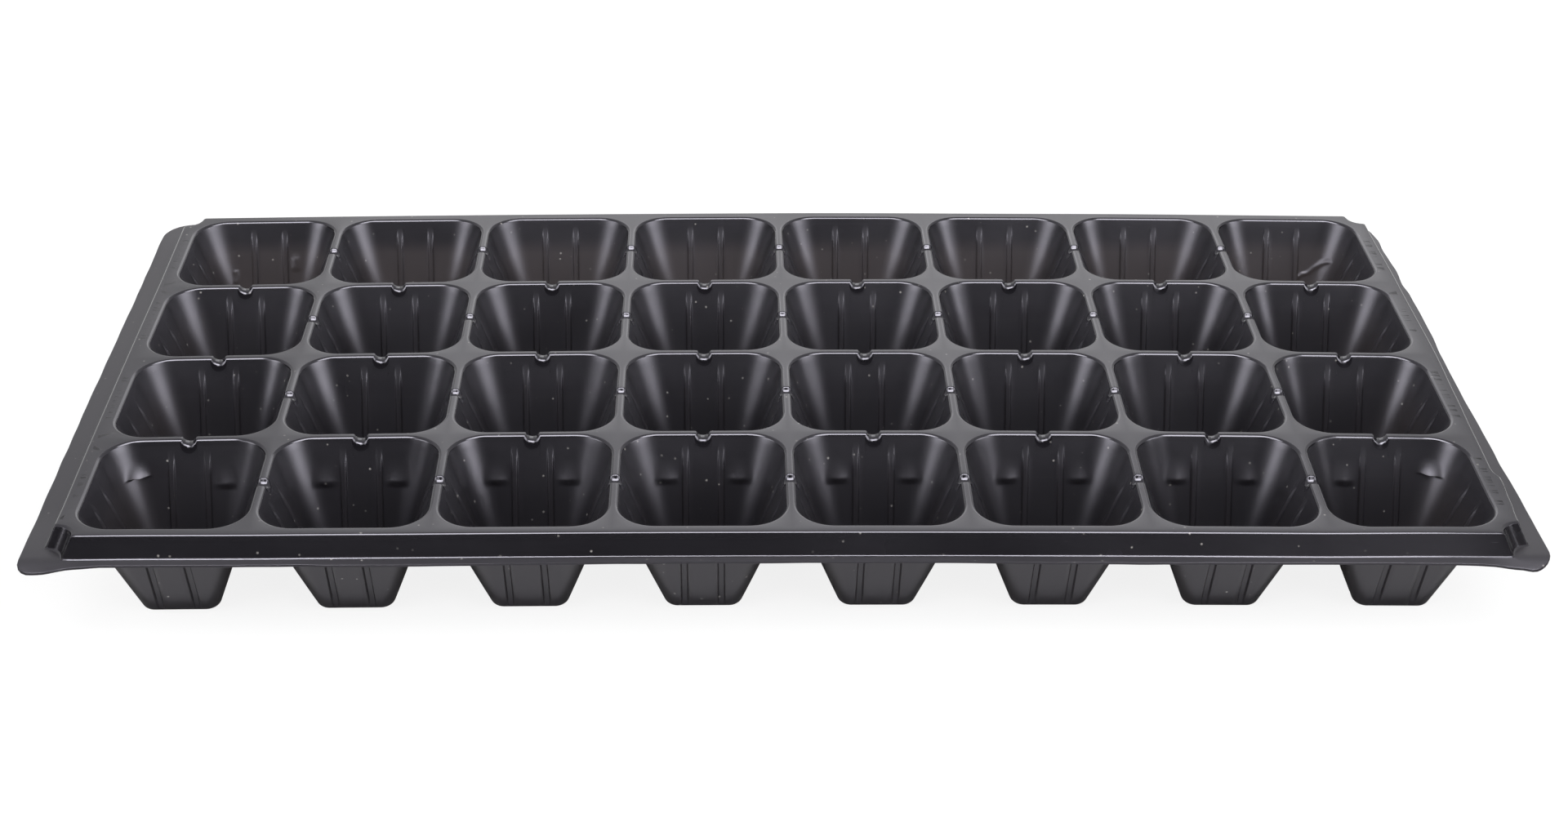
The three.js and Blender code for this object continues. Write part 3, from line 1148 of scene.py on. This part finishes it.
@dataclass(frozen=True)
class BlackStyrene:
    """High-impact polystyrene sheet, extruded black and drawn warm over a mould.

    The eye gets a near-black body under a satin skin that mirrors large lights softly, with
    a faint orange peel from the mould, smoother bends, scuffs and specks of dust.
    """

    name: str = "black_polystyrene_sheet"
    body: str = "#100f12"
    pale: str = "#141316"
    glow: str = "#585453"  # light through one face of the sheet where it was drawn thin
    skin: str = "#f4f1ff"
    scuff: str = "#57565a"
    dust: str = "#85827f"
    ior: float = 1.5
    roughness: float = 0.36
    smoother: float = 0.03  # in the smoothest patches
    rougher: float = 0.04
    bend_roughness: float = 0.11
    patch_mm: float = 45.0
    patch_detail: float = 4.0
    patch_span: tuple[float, float] = (0.3, 0.7)
    peel_mm: float = 2.2
    peel_detail: float = 3.0
    peel_strength: float = 0.25
    peel_height_mm: float = 0.05
    scuff_mm: float = 0.7
    scuff_length_mm: float = 16.0
    scuff_turn: tuple[float, float, float] = (0.4, 0.3, 0.9)
    scuff_detail: float = 2.0
    scuff_span: tuple[float, float] = (0.78, 0.86)
    scuff_strength: float = 0.4
    scuff_roughness: float = 0.15
    speck_mm: float = 5.0  # from one speck to the next
    speck_edge: tuple[float, float] = (0.05, 0.11)
    speck_span: tuple[float, float] = (0.3, 1.0)  # which of them show, and how well
    speck_strength: float = 0.8
    thin_mm: float = 34.0  # height up to which the sheet is thin
    thick_mm: float = 47.0

    def make(self) -> bpy.types.Material:
        """Makes the material.

        Returns:
            A material whose patterns follow object coordinates.
        """
        material = bpy.data.materials.new(self.name)
        material.use_nodes = True
        tree = material.node_tree
        tree.nodes.clear()
        place = add_node(tree, "ShaderNodeTexCoord").outputs["Object"]
        patch = add_node(tree, "ShaderNodeTexNoise", {
            "Vector": place, "Scale": 1 / (self.patch_mm * MM), "Detail": self.patch_detail,
        }).outputs["Fac"]
        scuffs, specks = self.scuffs(tree, place), self.specks(tree, place)
        colour: Any = linear(self.body)
        for share, over in ((patch, self.pale), (scuffs, self.scuff), (specks, self.dust)):
            colour = add_node(tree, "ShaderNodeMix", {  # with colours in 6 and 7 and out of 2
                "Factor": share, 6: colour, 7: linear(over),
            }, data_type="RGBA").outputs[2]
        shader = add_node(tree, "ShaderNodeBsdfPrincipled", {
            "Base Color": colour, "Roughness": self.gloss(tree, patch, scuffs), "IOR": self.ior,
            "Normal": self.peel(tree, place), "Specular Tint": linear(self.skin),
        })
        through = add_node(tree, "ShaderNodeBsdfTranslucent", {"Color": self.glowing(tree, place)})
        sheet = add_node(tree, "ShaderNodeAddShader", {
            0: shader.outputs["BSDF"], 1: through.outputs["BSDF"],
        })
        add_node(tree, "ShaderNodeOutputMaterial", {"Surface": sheet.outputs["Shader"]})
        return material

    def gloss(self, tree: Tree, patch: Socket, scuffs: Socket) -> Socket:
        """Adds the skin's roughness, which is more in scuffs and less in bends.

        Args:
            tree: the material's tree.
            patch: how pale the sheet is.
            scuffs: how scuffed the skin is.

        Returns:
            A socket with the roughness.
        """
        low, high = self.patch_span
        rough = add_node(tree, "ShaderNodeMapRange", {
            "Value": patch, "From Min": low, "From Max": high,
            "To Min": self.roughness - self.smoother, "To Max": self.roughness + self.rougher,
        }).outputs["Result"]
        bend = add_node(tree, "ShaderNodeAttribute", attribute_name=BEND).outputs["Fac"]
        drawn = self.bend_roughness - self.roughness
        for share, change in ((scuffs, self.scuff_roughness), (bend, drawn)):
            rough = add_node(tree, "ShaderNodeMath", {
                0: share, 1: change, 2: rough,
            }, operation="MULTIPLY_ADD").outputs["Value"]
        return rough

    def peel(self, tree: Tree, place: Socket) -> Socket:
        """Adds the faint orange peel that the mould left.

        Args:
            tree: the material's tree.
            place: object coordinates.

        Returns:
            A socket with the normal.
        """
        height = add_node(tree, "ShaderNodeTexNoise", {
            "Vector": place, "Scale": 1 / (self.peel_mm * MM), "Detail": self.peel_detail,
        })
        bump = add_node(tree, "ShaderNodeBump", {
            "Height": height.outputs["Fac"], "Strength": self.peel_strength,
            "Distance": self.peel_height_mm * MM,
        })
        return bump.outputs["Normal"]

    def glowing(self, tree: Tree, place: Socket) -> Socket:
        """Adds the light that the sheet lets through, more towards the cell bottoms.

        Args:
            tree: the material's tree.
            place: object coordinates.

        Returns:
            A socket with its colour.
        """
        parts = add_node(tree, "ShaderNodeSeparateXYZ", {"Vector": place})
        thin = add_node(tree, "ShaderNodeMapRange", {
            "Value": parts.outputs["Z"], "From Min": self.thin_mm * MM,
            "From Max": self.thick_mm * MM, "To Min": 1.0, "To Max": 0.0,
        })
        colour = add_node(tree, "ShaderNodeMix", {
            "Factor": thin.outputs["Result"], 6: BLACK, 7: linear(self.glow),
        }, data_type="RGBA")
        return colour.outputs[2]

    def scuffs(self, tree: Tree, place: Socket) -> Socket:
        """Adds short rubbed lines, all at one slant to the tray.

        Args:
            tree: the material's tree.
            place: object coordinates.

        Returns:
            A socket that says how scuffed the skin is.
        """
        turned = add_node(tree, "ShaderNodeMapping", {
            "Vector": place, "Rotation": Euler(self.scuff_turn),
            "Scale": Vector((1 / self.scuff_length_mm, 1 / self.scuff_mm, 1 / self.scuff_mm)) / MM,
        })
        lines = add_node(tree, "ShaderNodeTexNoise", {
            "Vector": turned.outputs["Vector"], "Scale": 1.0, "Detail": self.scuff_detail,
        })
        low, high = self.scuff_span
        level = add_node(tree, "ShaderNodeMapRange", {
            "Value": lines.outputs["Fac"], "From Min": low, "From Max": high,
            "To Min": 0.0, "To Max": self.scuff_strength,
        })
        return level.outputs["Result"]

    def specks(self, tree: Tree, place: Socket) -> Socket:
        """Adds scattered specks of dust.

        Args:
            tree: the material's tree.
            place: object coordinates.

        Returns:
            A socket that says how dusty the skin is.
        """
        cells = add_node(tree, "ShaderNodeTexVoronoi", {
            "Vector": place, "Scale": 1 / (self.speck_mm * MM),
        })
        kind = add_node(tree, "ShaderNodeSeparateColor", {"Color": cells.outputs["Color"]})
        near, far = self.speck_edge
        level = add_node(tree, "ShaderNodeMapRange", {
            "Value": cells.outputs["Distance"], "From Min": near, "From Max": far,
            "To Min": 1.0, "To Max": 0.0,
        })
        low, high = self.speck_span
        some = add_node(tree, "ShaderNodeMapRange", {
            "Value": kind.outputs["Red"], "From Min": low, "From Max": high,
            "To Min": 0.0, "To Max": self.speck_strength,
        })
        shown = add_node(tree, "ShaderNodeMath", {
            0: level.outputs["Result"], 1: some.outputs["Result"],
        }, operation="MULTIPLY")
        return shown.outputs["Value"]


@dataclass(frozen=True)
class Warp:
    """How a thin sheet springs after forming: the ends hang a little and the front lip droops."""

    skirt_foot: float  # from the middle of the tray to where the front lip starts
    bow: float = 1.7  # rise of the middle over both ends
    bow_half: float = 260.0
    cross_bow: float = 1.0  # and over the front and the back
    cross_half: float = 130.0
    twist: float = 0.8  # rise of two opposite corners, and fall of the others
    # Fall of the front lip for each millimetre of its width, by the place along it
    lip_fall: Knots = (
        (-267.0, 0.33), (-252.0, 0.25), (-190.0, 0.24), (-131.0, 0.14), (-89.0, 0.06),
        (-55.0, 0.0), (50.0, 0.0), (97.0, 0.12), (126.0, 0.15), (154.0, 0.2), (189.0, 0.24),
        (240.0, 0.26), (257.0, 0.4),
    )
    # How far the right edge of the deck was pulled out of line, by the place along it
    deck_pull: Knots = (
        (-119.0, 0.0), (-107.0, 1.0), (-92.5, 1.7), (-87.0, -0.3), (-59.0, -0.1), (-33.0, 0.4),
        (0.0, 1.0), (60.0, 0.5), (119.0, 0.0),
    )
    deck_edge: float = 258.5
    pull_half: float = 119.0
    pull_start: tuple[float, float] = (-2.0, -0.5)  # from the deck's edge, as is its end
    pull_end: tuple[float, float] = (3.5, 8.0)
    # How far the back and front edges stand above that, by the place along them
    back_rise: Knots = ((-260.0, 1.2), (0.0, 1.0), (120.0, 0.5), (260.0, -0.1))
    back_start: float = 64.0
    front_rise: Knots = (
        (-260.0, 0.75), (-245.0, 0.65), (-180.0, 0.15), (-130.0, 0.0), (180.0, 0.0),
        (235.0, 0.6), (260.0, 0.75),
    )
    front_start: float = -100.0
    back_draw: float = 0.5
    draw_span: tuple[float, float] = (126.0, 128.0)
    # How far the webs stand above the rest along the middle, by the place across the tray
    crown: Knots = (
        (-137.0, 0.1), (-125.0, 0.33), (-62.0, 1.41), (1.5, 1.19), (65.0, 0.63), (122.0, 0.0),
    )
    crown_half: float = 300.0
    crown_span: tuple[float, float] = (5.0, 40.0)  # heights where the wall was drawn out for it

    def moved(self, point: Vector) -> Vector:
        """Gives where a point of the flat form ends up, in millimetres.

        Args:
            point: the point as formed.

        Returns:
            The point after the sheet has sprung.
        """
        wide, deep = point.x / self.bow_half, point.y / self.cross_half
        lift = self.bow * (1 - min(1.0, wide * wide))
        lift += self.cross_bow * (1 - min(1.0, deep * deep))
        lift += self.twist * max(-1.0, min(1.0, wide * deep))
        back = smooth(self.back_start, self.cross_half, point.y)
        lift += between(self.back_rise, point.x) * back
        front = smooth(self.front_start, -self.cross_half, point.y)
        lift += between(self.front_rise, point.x) * front
        swell = between(self.crown, point.y) * (1 - (point.x / self.crown_half) ** 2)
        lift += swell * smooth(*self.crown_span, point.z)
        hang = max(0.0, -point.y - self.skirt_foot) * between(self.lip_fall, point.x)
        off = point.x - self.deck_edge
        near = smooth(*self.pull_start, off) * (1 - smooth(*self.pull_end, off))
        pull = near * between(self.deck_pull, point.y) if abs(point.y) < self.pull_half else 0.0
        draw = self.back_draw * smooth(*self.draw_span, point.y)
        return point + Vector((pull, draw, lift - hang))

    def apply(self, bm: bmesh.types.BMesh) -> None:
        """Moves the points of a mesh in metres."""
        for vert in bm.verts:
            vert.co = self.moved(vert.co / MM) * MM


def finish_piece(
    name: str, bm: bmesh.types.BMesh, material: bpy.types.Material,
) -> bpy.types.Object:
    """Makes a piece from a mesh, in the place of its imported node.

    Args:
        name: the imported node.
        bm: the mesh in metres; it is freed.
        material: the piece's finish.

    Returns:
        The new object.
    """
    mesh = bpy.data.meshes.new(name + "_sheet")
    bm.to_mesh(mesh)
    bm.free()
    mesh.materials.append(material)
    mesh.shade_smooth()
    mesh.set_sharp_from_angle(angle=SHARP)
    piece = bpy.data.objects.new(name + "_sheet", mesh)
    bpy.context.scene.collection.objects.link(piece)
    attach(piece, BODY)
    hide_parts(name)
    return piece


@dataclass(frozen=True)
class Viewpoint:
    """Where the photograph was taken from, in millimetres and degrees."""

    place: tuple[float, float, float] = (-24.14, -868.18, 517.61)
    elevation: float = 29.845
    heading: float = 1.6
    roll: float = 0.6
    lens: float = 57.34
    sensor: float = 36.0

    def make(self) -> None:
        """Sets up the camera."""
        data = bpy.data.cameras.new("viewpoint")
        data.lens = self.lens
        data.sensor_width = self.sensor
        camera = bpy.data.objects.new("viewpoint", data)
        turn = Matrix.Rotation(math.radians(-self.heading), 3, "Z")
        turn = turn @ Matrix.Rotation(math.radians(90 - self.elevation), 3, "X")
        turn = turn @ Matrix.Rotation(math.radians(self.roll), 3, "Z")
        camera.rotation_euler = turn.to_euler()
        camera.location = Vector(self.place) * MM
        bpy.context.scene.collection.objects.link(camera)
        bpy.context.scene.camera = camera


@dataclass(frozen=True)
class Softbox:
    """A rectangular lamp that looks at the tray, in metres."""

    name: str
    place: tuple[float, float, float]
    aim: tuple[float, float, float]
    size: tuple[float, float]
    power: float
    spread: float = 180.0  # degrees, less where a grid is fixed over the lamp
    mirrored: bool = True
    lights: bool = True  # or else it is only mirrored

    def make(self) -> None:
        """Hangs the lamp."""
        data = bpy.data.lights.new(self.name, "AREA")
        data.shape = "RECTANGLE"
        data.size, data.size_y = self.size
        data.energy = self.power
        data.spread = math.radians(self.spread)
        lamp = bpy.data.objects.new(self.name, data)
        lamp.visible_camera = False
        lamp.visible_glossy = self.mirrored
        lamp.visible_diffuse = self.lights
        lamp.location = self.place
        way = Vector(self.aim) - Vector(self.place)
        lamp.rotation_euler = way.to_track_quat("-Z", "Y").to_euler()
        bpy.context.scene.collection.objects.link(lamp)


@dataclass(frozen=True)
class Panel:
    """A flat square of the set, stretched, turned and placed, in metres and degrees."""

    name: str
    half: float
    place: tuple[float, float, float]
    stretch: tuple[float, float] = (1.0, 1.0)
    turn: tuple[float, float, float] = (0.0, 0.0, 0.0)

    def make(self, material: bpy.types.Material) -> bpy.types.Object:
        """Makes the panel.

        Args:
            material: its finish.

        Returns:
            The panel.
        """
        matrix = Matrix.LocRotScale(
            Vector(self.place), Euler([math.radians(angle) for angle in self.turn]),
            Vector((*self.stretch, 1.0)),
        )
        bm = bmesh.new()
        bmesh.ops.create_grid(bm, x_segments=1, y_segments=1, size=self.half, matrix=matrix)
        mesh = bpy.data.meshes.new(self.name)
        bm.to_mesh(mesh)
        bm.free()
        mesh.materials.append(material)
        panel = bpy.data.objects.new(self.name, mesh)
        bpy.context.scene.collection.objects.link(panel)
        return panel


@dataclass(frozen=True)
class Studio:
    """Pale floor and white surround, softboxes on both sides and behind, and what gloss shows.

    One softbox overhead and the dark flags are only mirrored, and so is the grey card under the
    tray: painted shadow of the tray on the floor, for the skin to mirror.
    """

    softboxes: tuple[Softbox, ...] = (
        Softbox("left_softbox", (-0.95, -0.8, 0.58), (0.45, 0.0, 0.03), (1.6, 0.7), 3.7, 60.0),
        Softbox("right_softbox", (0.95, -0.8, 0.58), (-0.45, 0.0, 0.03), (1.6, 0.7), 4.0, 60.0),
        Softbox("left_high_softbox", (-0.5, -0.65, 1.1), (0.0, 0.0, 0.03), (0.7, 0.5), 5.5),
        Softbox("right_high_softbox", (0.5, -0.65, 1.1), (0.0, 0.0, 0.03), (0.7, 0.5), 7.0),
        Softbox(
            "top_softbox", (0.0, -0.35, 1.05), (0.0, 0.0, 0.04), (1.1, 0.5), 7.4, 90.0,
            lights=False,
        ),
        Softbox("back_softbox", (0.12, 1.6, 0.93), (0.0, 0.0, 0.046), (1.3, 0.7), 4.8),
        Softbox(
            "back_strip", (0.0, 0.64, 0.08), (0.0, 0.13, 0.03), (1.1, 0.14), 10.0,
            mirrored=False,
        ),
    )
    floor: Panel = Panel("floor", 6.0, (0.0, 0.0, -0.0002))
    # painted shadow: a grey card, seen only in the skin's gloss, that stands for the tray's shadow
    # on the floor under it
    card: Panel = Panel("painted_shadow_card", 0.27, (0.0, 0.0, -0.0001), (1.0, 0.42))
    flags: tuple[Panel, ...] = (
        Panel("front_flag", 0.885, (-0.27, -1.1, 0.89), (0.85, 1.0), (90.0, 0.0, 0.0)),
        Panel("front_mat", 0.5, (-0.1, -0.82, 0.001), (1.8, 1.0)),
        Panel("left_flag", 0.8, (-1.3, 0.45, 0.22), (0.28, 1.0), (0.0, 90.0, 0.0)),
        Panel("left_flag_card", 0.07, (-0.338, -0.206, 0.085), turn=(90.0, 0.0, -45.0)),
        Panel("right_flag", 0.8, (1.3, 0.45, 0.22), (0.28, 1.0), (0.0, 90.0, 0.0)),
        Panel("right_flag_card", 0.07, (0.338, -0.206, 0.085), turn=(90.0, 0.0, 45.0)),
    )
    floor_colour: str = "#f0f0f0"
    flag_colour: str = "#0c0c0d"
    # grey of the painted shadow under the tray
    painted_shadow_colour: str = "#8a8a8a"
    matt: float = 0.9
    fill: float = 0.5  # strength of the surround as light
    sheen: float = 1.0  # and to the eye
    whiten: float = 0.85  # how far the floor's shadow is lightened to the eye

    def make(self) -> None:
        """Sets up floor, flags, the grey card of painted shadow, lamps and surround."""
        self.make_floor()
        self.make_flags()
        for softbox in self.softboxes:
            softbox.make()
        self.make_surround()
        bpy.context.scene.view_settings.view_transform = "Standard"

    def plain(self, name: str, colour: str) -> bpy.types.Material:
        """Makes a plain matt material for the set.

        Args:
            name: the material's name.
            colour: its hex colour.

        Returns:
            The material.
        """
        material = bpy.data.materials.new(name)
        material.use_nodes = True
        shader = material.node_tree.nodes["Principled BSDF"]
        shader.inputs["Base Color"].default_value = linear(colour)
        shader.inputs["Roughness"].default_value = self.matt
        shader.inputs["Specular IOR Level"].default_value = 0.0
        return material

    def make_floor(self) -> None:
        """Lays the floor just under the tray."""
        paper = self.plain("white_paper", self.floor_colour)
        tree = paper.node_tree
        share = add_node(tree, "ShaderNodeMath", {
            0: self.seen(tree), 1: self.whiten,
        }, operation="MULTIPLY")
        white = add_node(tree, "ShaderNodeEmission", {"Color": WHITE, "Strength": 1.0})
        lit = add_node(tree, "ShaderNodeMixShader", {
            0: share.outputs["Value"], 1: tree.nodes["Principled BSDF"].outputs["BSDF"],
            2: white.outputs["Emission"],
        })
        surface = tree.nodes["Material Output"].inputs["Surface"]
        tree.links.new(lit.outputs["Shader"], surface)
        self.floor.make(paper)

    def seen(self, tree: Tree) -> Socket:
        """Adds the test for rays that show the set: to the camera, or by a mirror or glass.

        Args:
            tree: the tree.

        Returns:
            A socket with 1 for such rays and 0 for light.
        """
        path = add_node(tree, "ShaderNodeLightPath").outputs
        either = path["Is Camera Ray"]
        for ray in ("Is Glossy Ray", "Is Transmission Ray"):
            either = add_node(tree, "ShaderNodeMath", {
                0: either, 1: path[ray],
            }, operation="MAXIMUM").outputs["Value"]
        return either

    def make_flags(self) -> None:
        """Stands dark flags in front and at both ends, and lays a grey card under the tray as
        painted shadow of the tray on the floor.

        Only the tray's skin mirrors them.
        """
        felt = self.plain("black_felt", self.flag_colour)
        panels = [flag.make(felt) for flag in self.flags]
        # the grey card is painted shadow under the tray, seen only in gloss
        panels.append(self.card.make(self.plain("painted_shadow_grey", self.painted_shadow_colour)))
        for panel in panels:
            panel.visible_camera = False
            panel.visible_diffuse = False
            panel.visible_shadow = False

    def make_surround(self) -> None:
        """Gives an even white surround, dimmer as light than to the eye."""
        world = bpy.data.worlds.new("surround")
        bpy.context.scene.world = world
        world.use_nodes = True
        tree = world.node_tree
        tree.nodes.clear()
        strength = add_node(tree, "ShaderNodeMapRange", {
            "Value": self.seen(tree), "To Min": self.fill, "To Max": self.sheen,
        })
        light = add_node(tree, "ShaderNodeBackground", {
            "Color": WHITE, "Strength": strength.outputs["Result"],
        })
        add_node(tree, "ShaderNodeOutputWorld", {"Surface": light.outputs["Background"]})


def main() -> None:
    """Builds the tray and the studio."""
    logging.basicConfig(level=logging.INFO)
    sizes = TraySizes.from_frame()
    material = BlackStyrene().make()
    warp = Warp(skirt_foot=sizes.deck_half.y + RimSizes.draft)
    cells = [
        Cell(sizes, CellSizes(), row, column)
        for row in range(sizes.rows) for column in range(sizes.columns)
    ]
    maker = RimMaker(sizes, RimSizes())
    for formed in (*cells, *maker.sides(), *maker.corners()):
        piece = formed.dress(warp, material)
        LOG.info("%s: %d faces", piece.name, len(piece.data.polygons))
    Viewpoint().make()
    Studio().make()


if __name__ == "__main__":
    main()
